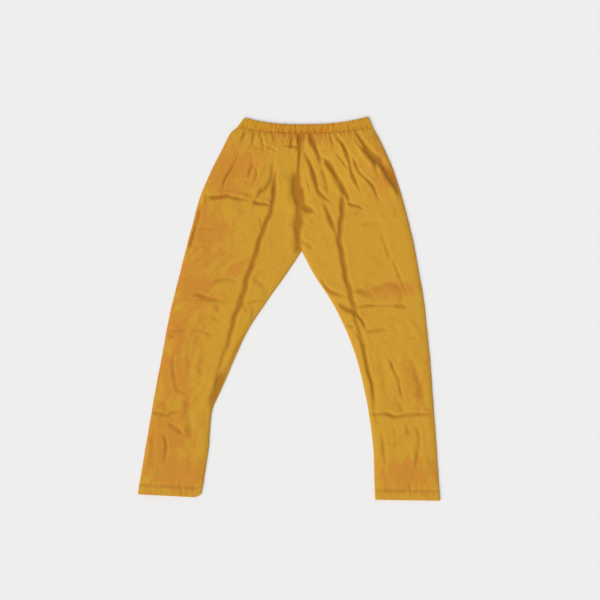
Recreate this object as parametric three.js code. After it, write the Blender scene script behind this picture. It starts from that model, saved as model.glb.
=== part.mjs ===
// Leggings, laid flat on a surface with the front up and the legs a little apart.
//
// Each leg is one shaped piece of cotton jersey: it runs from the front seam round the side, which
// is a fold and not a seam, to the back seam, and closes along the inseam. One seam joins the two
// legs from the front of the waist, through the fork, to the back. The hems are turned up inside.
// The waist is a casing over soft elastic, one half on each leg, which draws the cloth into gathers.
//
// Millimetres. +X is towards the wearer's left leg, +Y towards the waist, +Z up from the surface.

import * as THREE from 'three';

// ---------------------------------------------------------------- driving sizes

const WALL = 1.4; // one layer of jersey
const LAYER_GAP = 0.6; // between the front layer and the back layer it lies on
const SEAM_GAP = 0.3; // between two pieces that are sewn together
const FORK = 142; // y of the fork, where the legs part
const FORK_BLEND = 24; // above the fork the front and back seam edges draw together over this

const HEM_WALL = 2.6; // the turned-up hem is two layers
const HEM_TOP = -429; // y of the hem's raw edge and its stitching
const HEM_RISE = 24; // the outside swells to the hem's thickness over this
const HEM_DROP = { right: { inner: 8, outer: 0 }, left: { inner: 13.5, outer: 15.8 } };

const PUFF = 2.6; // how far the front layer stands off the back layer, away from its edges
const HEM_PUFF = 0.9; // the same inside the stiffer hem
const EDGE_REACH = 12; // how fast it rises from a folded edge
const CREASE_WIDTH = 6.5; // half width of the pressed crease down each leg
const WAIST_SAG = 15.4; // the gathered edge dips this far from the sides to the front seam
const SAG_SHAPE = 2.5; // flat in the middle, steeper at the sides

const BAND_WALL = 3; // casing and elastic
const BAND_SEAM_X = 32; // the front seam where it crosses the band
const BAND_TOP = { right: { x: -109.8, y: 467.3 }, left: { x: 193.9, y: 469.8 } };
const BAND_TOP_MIDDLE = 451.4;
const PUCKERS = 18; // across the front of each half
const PUCKER_LIFT = 0.8;

const WAIST_COLUMNS = { right: 22, left: 26 }; // across the front layer, in the gathered part
const CREASE_COLUMNS = { inner: 5, outer: 7 }; // on each side of the pressed crease, below it
const GATHERED_DOWN_TO = 224;
const BACK_COLUMNS = { waist: 5, leg: 2 }; // across the flat back layer

// ---------------------------------------------------------------- tables

const table = (columns, rows) =>
  rows.map((row) => Object.fromEntries(columns.map((name, i) => [name, row[i]])));

// Outline, seam and pressed creases, a row for each level from the waist down. `steps` is the number
// of mesh rows to the next level, and `Dip` how deep the pressed crease is there.
const HIPS = table(
  ['y', 'steps', 'rightOuter', 'rightCrease', 'rightDip', 'seam', 'leftCrease', 'leftDip', 'leftOuter'],
  [
    [444, 4, -127, -20, 0, 32, 128, 0, 205],
    [400, 5, -159, -24, 0, 28, 130, 0, 227],
    [340, 6, -189, -31, 0, 24, 133, 0, 255],
    [270, 4, -219, -37, 2, 23, 132, 2, 278],
    [215, 3, -234, -53, 2.6, 23, 128, 2.6, 292],
    [165, 2, -247, -71, 2.6, 24, 125, 2.8, 304],
    [142, 0, -253, -80, 2.8, 31, 127, 2.8, 309],
  ]);

const LEGS = table(
  ['y', 'steps', 'rightOuter', 'rightCrease', 'rightDip', 'rightInner', 'leftInner', 'leftCrease',
    'leftDip', 'leftOuter'],
  [
    [142, 3, -253, -80, 2.8, 31, 31, 127, 2.8, 309],
    [80, 4, -269, -98, 2.8, -10, 64, 141, 2.8, 320],
    [20, 6, -284, -118, 2.8, -53, 103, 154, 2.4, 330],
    [-50, 4, -299, -139, 2, -99, 139, 172, 1.6, 338],
    [-120, 4, -312, -161, 1.4, -132, 165, 187, 1.4, 345],
    [-200, 4, -327, -185, 1.2, -167, 185, 204, 1.6, 351],
    [-250, 4, -336, -200, 0.4, -188, 195, 210, 0.8, 355],
    [-340, 3, -351, -210, 0, -197, 206, 218, 0, 361],
    [-427, 1, -366, -223, 0, -210, 210, 223, 0, 368],
    [-431, 1, -367, -223, 0, -211, 210, 223, 0, 368],
    [-454, 0, -370, -226, 0, -215, 211, 224, 0, 370],
  ]);

// Folds in the front layer. Each runs from (x0, y0) to (x1, y1) and bows by `bend` to the left of
// that direction. `width` is its half width, and a negative `lift` is a trough.
const FOLDS = table(
  ['name', 'x0', 'y0', 'x1', 'y1', 'bend', 'width', 'lift'],
  [
    // the cloth billows out below the elastic
    ['billow, right hip', -40, 470, -120, 285, 0, 58, 2.2],
    ['billow, left hip', 95, 470, 215, 262, 0, 58, 3.4],
    ['billow, front', 8, 400, 60, 220, 0, 34, 1.8],
    // gathers let out by the elastic
    ['gather 1', -95, 450, -110, 410, 0, 7.5, -2.6],
    ['gather 2', -90, 450, -86, 404, 0, 7.5, -3],
    ['gather 3', -72, 448, -62, 396, 0, 7.5, -2.8],
    ['gather 4', -44, 446, -36, 402, 0, 7.5, -2.6],
    ['gather 5', -24, 445, 0, 405, 0, 7.5, -2.2],
    ['gather 6', 9, 445, 5, 395, 0, 7.5, -2.8],
    ['gather 7', 72, 445, 66, 400, 0, 7.5, -2.4],
    ['gather 8', 102, 446, 100, 396, 0, 7.5, -2.4],
    ['gather 9', 127, 450, 130, 405, 0, 7.5, -2.2],
    ['gather 10', 174, 457, 190, 410, 0, 8, -2.6],
    // drag lines from the front of the waist across the left hip
    ['drag 1, top', 33, 425, 70, 292, 3, 9, -3.6],
    ['drag 1, middle', 62, 308, 112, 250, -4, 9, -3.8],
    ['drag 1, tail', 84, 270, 121, 170, 0, 9, -3.2],
    ['drag 2', 50, 450, 96, 285, 3, 9.5, -4],
    ['drag 3, top', 74, 380, 116, 336, 5, 9, -3.2],
    ['drag 3, bottom', 104, 352, 148, 252, 6, 10.5, -4.8],
    ['drag 3, foot', 142, 258, 188, 240, 3, 8, -2.6],
    ['drag 4, top', 104, 450, 158, 346, 4, 9, -3.6],
    ['drag 4, bottom', 150, 362, 180, 268, -6, 8, -2.8],
    ['drag 5, top', 144, 378, 170, 326, 0, 8, -2.8],
    ['drag 5, bottom', 172, 336, 228, 258, 6, 8, -2.6],
    ['drag 6, top', 160, 450, 226, 316, 3, 10, -4.4],
    ['drag 6, bottom', 200, 392, 280, 240, 10, 16, -5],
    // at the front seam
    ['dip beside the seam', 18, 345, 20, 250, -3, 12, -4.6],
    ['dip across the seam', 17, 282, 64, 230, 0, 12, -4.2],
    ['seam, upper', 31, 450, 23, 330, 0, 5, -1.6],
    ['seam, lower', 24, 340, 25, 150, 2, 5, -1.6],
    ['fork pull', 27, 166, 60, 138, 0, 9, -1.8],
    // right hip
    ['hip 1', -118, 396, -162, 272, 0, 8, -3],
    ['hip 2', -87, 364, -98, 316, 0, 8, -2],
    ['hip 3', -80, 346, -94, 290, 5, 8, -2.2],
    ['hip 4, top', -36, 376, -48, 300, 0, 8, -2.6],
    ['hip 4, bottom', -44, 320, -80, 252, 0, 9, -3.2],
    ['hip 5', -28, 350, -40, 250, 0, 8.5, -3.2],
    ['hip crease', -200, 277, -92, 263, 0, 8, -3],
    // knees, where the pair was folded across
    ['right knee arc', -190, 66, -124, 62, 8, 8, -1.6],
    ['right knee, inner', -58, 66, -58, 24, 0, 12, -1.8],
    ['right knee crease', -240, 33, -112, 19, -3, 8, -2.4],
    ['right knee crease, inner', -110, 14, -52, 22, 0, 8, -1.8],
    ['left knee, inner side', 72, 82, 100, 38, 0, 10, -2.6],
    ['left knee, inner end', 96, 41, 150, 26, 0, 9, -2.8],
    ['left knee, soft', 154, 44, 214, 34, 0, 12, -2],
    ['left knee arc', 206, 44, 284, 42, 12, 12, -2],
    ['left knee crease', 150, 3, 230, 2, 5, 8, -1.9],
    ['left knee crease, outer', 234, 7, 318, 4, 0, 8, -1.7],
    ['left knee wedge', 124, 4, 158, -10, 0, 9, -2.4],
    ['left knee wedge, tail', 150, 0, 186, -52, 0, 9, -2.2],
    ['left shin crease', 180, -56, 254, -54, 4, 8, -1.4],
    // shins and calves
    ['right shin crease', -300, -52, -176, -58, -4, 8, -1.6],
    ['right shin, inner slope', -138, -80, -186, -244, 0, 13, -1.8],
    ['right calf, soft', -280, -112, -266, -204, 0, 13, -1.8],
    ['right calf, branch', -270, -192, -210, -230, 0, 9, -1.6],
    ['right ankle, soft', -248, -208, -244, -328, 0, 14, -1.6],
    ['right calf crease', -338, -252, -270, -252, -4, 9, -2.6],
    ['right ankle, slant', -296, -274, -254, -314, 0, 9, -2],
    ['left calf, inner', 188, -122, 208, -248, 0, 9, -1.6],
    ['left calf 1', 250, -126, 276, -214, 5, 8, -2],
    ['left calf 2', 266, -220, 276, -254, 0, 9, -1.8],
    ['left calf, outer', 294, -108, 342, -252, -3, 13, -2],
    ['left calf crease, inner', 198, -257, 274, -262, 0, 9, -2.6],
    ['left calf crease, outer', 270, -262, 354, -259, 0, 9, -2.2],
    ['left ankle, inner', 222, -294, 234, -364, 0, 9, -1.6],
    ['left ankle, outer', 318, -280, 312, -380, 0, 9, -1.6],
  ]);

// The band from its sewn edge up: how much of the wall and of the puckers is there.
const BAND_ROWS = table(['height', 'wall', 'pucker'],
  [[0, 0.85, 0.6], [4, 1, 1], [20, 1, 1], [24, 0.5, 0.3]]);

// ---------------------------------------------------------------- shape of the cloth

const { clamp, lerp, smoothstep } = THREE.MathUtils;
const SIDES = { right: -1, left: 1 };

// One column of a table at height y, as a smooth curve through its rows.
function column(rows, name, y) {
  let i = rows.findIndex((row, k) => k > 0 && row.y <= y);
  if (i < 0) i = rows.length - 1;
  const slope = (k) => {
    const above = rows[Math.max(k - 1, 0)];
    const below = rows[Math.min(k + 1, rows.length - 1)];
    return (below[name] - above[name]) / (below.y - above.y);
  };
  const a = rows[i - 1];
  const b = rows[i];
  const h = b.y - a.y;
  const f = clamp((y - a.y) / h, 0, 1);
  return a[name] * (1 - f) ** 2 * (1 + 2 * f) + b[name] * f * f * (3 - 2 * f)
    + h * f * (1 - f) * (slope(i - 1) * (1 - f) - slope(i) * f);
}

// The sizes of one leg at one level.
function levelOf(side, y) {
  const rows = y >= FORK ? HIPS : LEGS;
  const closed = 1 - smoothstep(y, FORK, FORK + FORK_BLEND); // 1 where the leg is a tube of its own
  const hem = 1 - smoothstep(y, HEM_TOP, HEM_TOP + HEM_RISE);
  const inner = column(rows, y >= FORK ? 'seam' : `${side}Inner`, y) + SIDES[side] * SEAM_GAP / 2;
  return {
    side, y, closed, inner,
    outer: column(rows, `${side}Outer`, y),
    crease: column(rows, `${side}Crease`, y),
    dip: column(rows, `${side}Dip`, y),
    wall: lerp(WALL, HEM_WALL, 1 - smoothstep(y, HEM_TOP - 2, HEM_TOP + 2)),
    radius: LAYER_GAP / 2 + lerp(WALL, HEM_WALL, hem), // of the fold at the side
    puff: lerp(PUFF, HEM_PUFF, hem),
    sag: WAIST_SAG * smoothstep(y, 300, 444),
    drop: 1 - smoothstep(y, HEM_TOP, HEM_TOP + 40),
  };
}

// A point on the table of the level, at share s of the way from the inner edge to the outer one.
function planPoint(level, s) {
  const drop = lerp(HEM_DROP[level.side].inner, HEM_DROP[level.side].outer, s);
  return {
    x: lerp(level.inner, level.outer, s),
    y: level.y - level.sag * (1 - s ** SAG_SHAPE) - level.drop * drop,
  };
}

function foldLift(x, y) {
  let lift = 0;
  for (const fold of FOLDS) {
    const dx = fold.x1 - fold.x0;
    const dy = fold.y1 - fold.y0;
    const length = Math.hypot(dx, dy);
    const along = ((x - fold.x0) * dx + (y - fold.y0) * dy) / length ** 2;
    if (along <= 0 || along >= 1) continue;
    const off = ((y - fold.y0) * dx - (x - fold.x0) * dy) / length
      - 4 * fold.bend * along * (1 - along);
    const taper = smoothstep(along, 0, 0.3) * smoothstep(1 - along, 0, 0.35);
    lift += fold.lift * taper * Math.exp(-((off / fold.width) ** 2));
  }
  return lift;
}

// Height of the outside of the front layer.
function frontHeight(level, s) {
  const { x, y } = planPoint(level, s);
  const width = Math.abs(level.outer - level.inner);
  const crease = -level.dip * Math.exp(-(((x - level.crease) / CREASE_WIDTH) ** 2));
  const raw = level.puff + foldLift(x, y) + crease;
  const lift = 0.5 * (raw + Math.hypot(raw, 0.8)); // never below the layer underneath
  const fromOuter = 1 - Math.exp(-((1 - s) * width) / EDGE_REACH);
  const fromInner = 1 - level.closed * Math.exp(-(s * width) / EDGE_REACH);
  return 2 * level.radius + lift * fromOuter * fromInner;
}

// Shares s at which the front layer of a level has its mesh columns.
function frontColumns(level) {
  if (level.y > GATHERED_DOWN_TO - 1) {
    const count = WAIST_COLUMNS[level.side];
    const lean = 1 + 0.6 * smoothstep(level.y, GATHERED_DOWN_TO, 444); // follows the drag lines
    return Array.from({ length: count + 1 }, (_, i) => (i / count) ** lean);
  }
  const width = level.outer - level.inner;
  const middle = (level.crease - level.inner) / width;
  const half = CREASE_WIDTH / Math.abs(width);
  const { inner, outer } = CREASE_COLUMNS;
  const shares = [];
  for (let i = 0; i <= inner; i++) shares.push((middle - half) * (i / inner) ** 1.3);
  shares.push(middle);
  for (let i = 0; i <= outer; i++) {
    shares.push(1 - (1 - middle - half) * (1 - i / outer) ** 1.3);
  }
  return shares;
}

// One section of the leg, from the front seam edge round the side to the back seam edge: pairs of
// outside and inside points, with a running share for matching it to the next section.
function legSection(level) {
  const { radius, wall, closed, inner, outer, side } = level;
  const hollow = radius - wall; // radius of the fold's inside
  const way = SIDES[side];
  const width = Math.abs(outer - inner);
  const flat = (s) => lerp(radius / width, 1 - radius / width, s); // the rounded edges lie outside
  const points = [];
  const add = (share, x, y, zOut, xIn, zIn) => points.push({
    share, out: [x, y, zOut], in: [xIn, y, zIn],
  });

  // inner edge of the front layer: flat along the seam, a quarter round where the leg is closed
  for (const [share, angle] of [[-2, 0], [-1, Math.PI / 4]]) {
    const x = inner + way * radius * (1 - Math.cos(angle));
    const top = frontHeight(level, flat(0));
    const mid = radius + SEAM_GAP / 2;
    const y = planPoint(level, 0).y;
    add(share, x, y, lerp(top, mid + (radius - SEAM_GAP / 2) * Math.sin(angle), closed),
      lerp(x, inner + way * (radius - hollow * Math.cos(angle)), closed),
      lerp(top - wall, mid + (hollow - SEAM_GAP / 2) * Math.sin(angle), closed));
  }
  for (const s of frontColumns(level)) {
    const { x, y } = planPoint(level, flat(s));
    const z = frontHeight(level, flat(s));
    add(s, x, y, z, x, z - wall);
  }
  // fold at the side
  const fold = outer - way * radius;
  const sideY = planPoint(level, 1).y;
  for (const [share, angle] of [[1.1, 45], [1.2, 0], [1.3, -45]]) {
    const c = Math.cos(THREE.MathUtils.degToRad(angle));
    const t = Math.sin(THREE.MathUtils.degToRad(angle));
    add(share, fold + way * radius * c, sideY, radius + radius * t,
      fold + way * hollow * c, radius + hollow * t);
  }
  // back layer, flat on the surface
  const backColumns = level.y > 400 ? BACK_COLUMNS.waist : BACK_COLUMNS.leg;
  for (let i = backColumns; i >= 0; i--) {
    const s = i / backColumns;
    const { x, y } = planPoint(level, flat(s));
    add(3 - s, x, y, 0, x, wall);
  }
  for (const [share, angle] of [[4, Math.PI / 4], [5, 0]]) {
    const x = inner + way * radius * (1 - Math.cos(angle));
    const mid = radius - SEAM_GAP / 2;
    const y = planPoint(level, 0).y;
    add(share, x, y, lerp(0, mid - (radius - SEAM_GAP / 2) * Math.sin(angle), closed),
      lerp(x, inner + way * (radius - hollow * Math.cos(angle)), closed),
      lerp(wall, mid - (hollow - SEAM_GAP / 2) * Math.sin(angle), closed));
  }
  return points;
}

// One section of a band half at one height above its sewn edge.
function bandSection(side, row) {
  const way = SIDES[side];
  const waist = levelOf(side, 444);
  const seam = BAND_SEAM_X + way * SEAM_GAP / 2;
  const top = BAND_TOP[side];
  const up = row.height / BAND_ROWS.at(-1).height;
  const edge = lerp(waist.outer, top.x, up);
  const radius = BAND_WALL + LAYER_GAP / 2;
  const plan = (s) => ({
    x: lerp(seam, edge - way * radius, s),
    y: lerp(lerp(waist.y - waist.sag, waist.y, s ** SAG_SHAPE) + SEAM_GAP,
      lerp(BAND_TOP_MIDDLE, top.y, s ** SAG_SHAPE), up),
  });
  const frontIn = BAND_WALL + LAYER_GAP;
  const frontOut = frontIn + BAND_WALL * row.wall;
  const backIn = BAND_WALL * row.wall;
  const points = [];
  const add = (x, y, zOut, xIn, zIn) => points.push({
    share: points.length, out: [x, y, zOut], in: [xIn, y, zIn],
  });

  const count = 3 * PUCKERS;
  for (let i = 0; i <= count; i++) {
    const s = i / count;
    const { x, y } = plan(s);
    const uneven = 0.75 + 0.25 * Math.sin(29 * s + way);
    const wave = Math.cos((2 * Math.PI * i) / 3) * uneven * smoothstep(count - i, 0, 3);
    const z = frontOut + PUCKER_LIFT * row.pucker * wave;
    add(x, y, z, x, frontIn);
  }
  const end = plan(1);
  for (const angle of [60, 30, 0, -30, -60]) {
    const c = Math.cos(THREE.MathUtils.degToRad(angle));
    const t = Math.sin(THREE.MathUtils.degToRad(angle));
    const outside = frontOut / 2;
    const inside = (frontIn - backIn) / 2;
    add(end.x + way * outside * c, end.y, outside + outside * t,
      end.x + way * inside * c, (frontIn + backIn) / 2 + inside * t);
  }
  for (let i = BACK_COLUMNS.waist; i >= 0; i--) {
    const { x, y } = plan(i / BACK_COLUMNS.waist);
    add(x, y, 0, x, backIn);
  }
  return points;
}

// ---------------------------------------------------------------- sections to closed solids

// Joins sections, each a run of outside and inside points, into one closed wall.
function wallGeometry(sections) {
  const positions = [];
  const index = [];
  for (const section of sections) {
    for (const point of section) {
      point.o = positions.length / 3;
      positions.push(...point.out);
      point.i = positions.length / 3;
      positions.push(...point.in);
    }
  }
  const quad = (a, b, c, d) => index.push(a, b, c, a, c, d);

  // two sections may differ in count: each step takes the one whose next point comes first
  const ladder = (a, b, key, flip) => {
    let i = 0;
    let j = 0;
    while (i < a.length - 1 || j < b.length - 1) {
      const stepA = j === b.length - 1 || (i < a.length - 1 && a[i + 1].share <= b[j + 1].share);
      const next = stepA ? a[i + 1][key] : b[j + 1][key];
      if (flip) index.push(a[i][key], next, b[j][key]);
      else index.push(a[i][key], b[j][key], next);
      if (stepA) i++;
      else j++;
    }
  };
  for (let k = 0; k < sections.length - 1; k++) {
    const a = sections[k];
    const b = sections[k + 1];
    ladder(a, b, 'o', false);
    ladder(a, b, 'i', true);
    quad(a[0].o, a[0].i, b[0].i, b[0].o);
    quad(a.at(-1).i, a.at(-1).o, b.at(-1).o, b.at(-1).i);
  }
  const first = sections[0];
  const last = sections.at(-1);
  for (let i = 0; i < first.length - 1; i++) {
    quad(first[i].o, first[i + 1].o, first[i + 1].i, first[i].i);
  }
  for (let i = 0; i < last.length - 1; i++) {
    quad(last[i].i, last[i + 1].i, last[i + 1].o, last[i].o);
  }

  // the two legs and halves mirror each other, so turn the faces of the one that comes out inside out
  const corner = (n) => new THREE.Vector3().fromArray(positions, 3 * index[n]);
  let volume = 0;
  for (let n = 0; n < index.length; n += 3) {
    volume += corner(n).dot(corner(n + 1).cross(corner(n + 2)));
  }
  if (volume < 0) index.reverse();

  const geometry = new THREE.BufferGeometry();
  geometry.setAttribute('position', new THREE.Float32BufferAttribute(positions, 3));
  geometry.setIndex(index);
  geometry.computeVertexNormals();
  return geometry;
}

function legSections(side) {
  const sections = [];
  for (const rows of [HIPS, LEGS]) {
    rows.forEach((row, k) => {
      for (let i = 0; i < row.steps; i++) {
        sections.push(legSection(levelOf(side, lerp(row.y, rows[k + 1].y, i / row.steps))));
      }
    });
  }
  sections.push(legSection(levelOf(side, LEGS.at(-1).y)));
  return sections;
}

// ---------------------------------------------------------------- pieces

const jersey = new THREE.MeshStandardMaterial({ color: 0xcc9630, roughness: 0.92, metalness: 0 });
const casing = new THREE.MeshStandardMaterial({ color: 0xc9922e, roughness: 0.92, metalness: 0 });

const leggings = new THREE.Group();
for (const side of ['right', 'left']) {
  const leg = new THREE.Mesh(wallGeometry(legSections(side)), jersey);
  leg.name = `leg_${side}`;
  const band = new THREE.Mesh(
    wallGeometry(BAND_ROWS.map((row) => bandSection(side, row))), casing);
  band.name = `waistband_${side}`;
  leggings.add(leg, band);
}

export default leggings;
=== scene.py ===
# Mustard jersey leggings, laid flat with the front up and the legs a little apart.
#
# The script follows the garment as it is put together: the two legs, the casing over the elastic at
# the waist, the rows of stitching, and then the table, the light and the camera. Sizes are in
# millimetres and turn into Blender's metres where a mesh is made. +X is towards the wearer's left
# leg, +Y towards the waist and +Z up from the table. Cut sizes, the table and the camera are in
# metres.

import bpy
import numpy as np
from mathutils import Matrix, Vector


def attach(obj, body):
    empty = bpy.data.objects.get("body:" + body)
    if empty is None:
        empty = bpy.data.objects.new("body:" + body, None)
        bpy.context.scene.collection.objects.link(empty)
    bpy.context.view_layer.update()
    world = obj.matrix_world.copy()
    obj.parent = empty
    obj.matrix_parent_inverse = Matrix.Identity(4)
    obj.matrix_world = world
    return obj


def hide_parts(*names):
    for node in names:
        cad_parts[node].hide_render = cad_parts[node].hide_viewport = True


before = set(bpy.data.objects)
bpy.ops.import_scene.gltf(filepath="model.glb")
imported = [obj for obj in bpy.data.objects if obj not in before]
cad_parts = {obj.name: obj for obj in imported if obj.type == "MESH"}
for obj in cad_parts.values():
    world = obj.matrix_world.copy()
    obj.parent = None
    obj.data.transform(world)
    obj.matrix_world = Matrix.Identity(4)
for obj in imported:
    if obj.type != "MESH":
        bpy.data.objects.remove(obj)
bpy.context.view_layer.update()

# ------------------------------------------------------------------------------------------ legs
# Each leg is one piece of stretch cotton jersey. It runs from the front seam round the side, which
# is a fold and not a seam, to the back seam, and closes along the inseam. The hem is turned up
# inside. The cloth has been stored folded, so it keeps pressed creases down and across each leg.

MM = 0.001  # one millimetre in Blender's metres
WAY = {"right": -1, "left": 1}  # which way X runs from the front seam to the side

WALL = 1.4  # one layer of jersey, with its loft
LAYER_GAP = 0.6  # air between the front layer and the back one
RESTS = 0.15  # least air between the two layers
PUFF = 5.0  # the front layer stands this much higher away from its edges
EDGE_REACH = {"front": 7, "back": 9}  # the cloth comes down to an edge over about this distance
LIP = 0.2  # height of the cloth pushed up beside a trough, as a share of its depth
BACK_SHADED = 3.2  # a fold of the back this high looks fully shaded

WAIST = 444
WAIST_SAG = 15.4  # the waist hangs lower in the middle by this much
SAG_SHAPE = 2.5  # 1 for a straight sag, more for one that bends near the sides
SAG_FROM = 300  # the height where it begins
DRAWN_DOWN = 9  # the casing holds the cloth down over about this distance
EDGES_WAVER_FROM = 40  # the edges waver in full from this far below the waist
EDGE_WAVES = ((0.3, 27, 1), (0.15, 9.1, 2))  # height, length and shift of each

FORK = 142
FORK_BLEND = 24  # above the fork the front and back edges of a leg draw apart over this
SEAM_GAP = 0.06  # the edges meet where they are sewn together
SEAM_ROLL = {"front": 2.4, "back": 0.6}  # the cloth rolls in to the seam by this much
SEAM_ROLL_REACH = {"front": 3.4, "back": 3}

HEM = -454
HEM_WALL = 2.6
HEM_TOP = -429  # the turned-up cloth ends here
HEM_RISE = 24  # above it, the cloth rises from the flat hem over this height
HEM_PUFF = 0.9
HEM_RIPPLE = 0.22
HEM_DROP = {"right": (8, 0), "left": (13.5, 15.8)}  # the hem's slant at the inseam and the side
HEM_DROP_BLEND = 40  # the slant dies out over this height
HEM_CORNER = {"right": 8, "left": 0}  # how far its inner corner is worn round
HEM_CORNER_REACH = 8
HEM_ROWS = (HEM_TOP, HEM_TOP - 4)  # two rows of stitching
HEM_GROOVE = 1.3  # half width of the line that each row presses into the cloth
HEM_GROOVE_DEPTH = 0.8
HEM_GROOVE_SHADE = 0.5

# Points of the mesh: rows down the leg, and columns round it.
ROW_PITCH = {"hips": 2.5, "legs": 3.5, "hem": 1.6}
HIP_ROWS_DOWN_TO = 120
HEM_ROWS_FROM = HEM_TOP + 5
HEM_EDGE_TURNS = np.radians([18, 36, 54, 72, 90])  # of the quarter round below the last row
SEAM_TURNS = np.radians([0, 22.5, 45, 67.5])
FRONT_COLUMNS = 112
SIDE_TURNS = np.radians([60, 30, 0, -30, -60])
BACK_COLUMNS = 34
CREASE_CROWDING = 0.045  # how far columns move towards the pressed crease, as a share of the width
CROWDED_FROM, CROWDED_BELOW = 300, 200  # heights where it begins and is full

HIPS_COLUMNS = "y rightOuter rightCrease rightDip seam leftCrease leftDip leftOuter".split()
HIPS = [
    (444, -127, -20, 0, 32, 128, 0, 205),
    (433, -141, -21, 0, 31, 128, 0, 212),
    (422, -148, -22, 0, 30, 129, 0, 218),
    (400, -159, -24, 0, 28, 130, 0, 229),
    (340, -189, -31, 0, 24, 133, 0, 255),
    (270, -219, -37, 2, 23, 132, 2, 278),
    (215, -234, -53, 2.6, 23, 128, 2.6, 292),
    (165, -247, -71, 2.6, 24, 125, 2.8, 304),
    (142, -253, -80, 2.8, 31, 127, 2.8, 309),
]
LEGS_COLUMNS = ("y rightOuter rightCrease rightDip rightInner leftInner leftCrease leftDip "
                "leftOuter").split()
LEGS = [
    (142, -253, -80, 2.8, 31, 31, 127, 2.8, 309),
    (80, -269, -98, 2.8, -10, 64, 141, 2.8, 320),
    (20, -284, -118, 2.8, -53, 103, 154, 2.4, 330),
    (-50, -299, -139, 2, -99, 139, 172, 1.6, 338),
    (-120, -312, -161, 1.4, -132, 165, 187, 1.4, 345),
    (-200, -327, -185, 1.2, -167, 185, 204, 1.6, 351),
    (-250, -336, -200, 0.4, -188, 195, 210, 0.8, 355),
    (-340, -351, -210, 0, -197, 206, 218, 0, 361),
    (-427, -366, -223, 0, -210, 210, 223, 0, 368),
    (-431, -367, -223, 0, -211, 210, 223, 0, 368),
    (-454, -370, -226, 0, -215, 211, 224, 0, 370),
]

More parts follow.
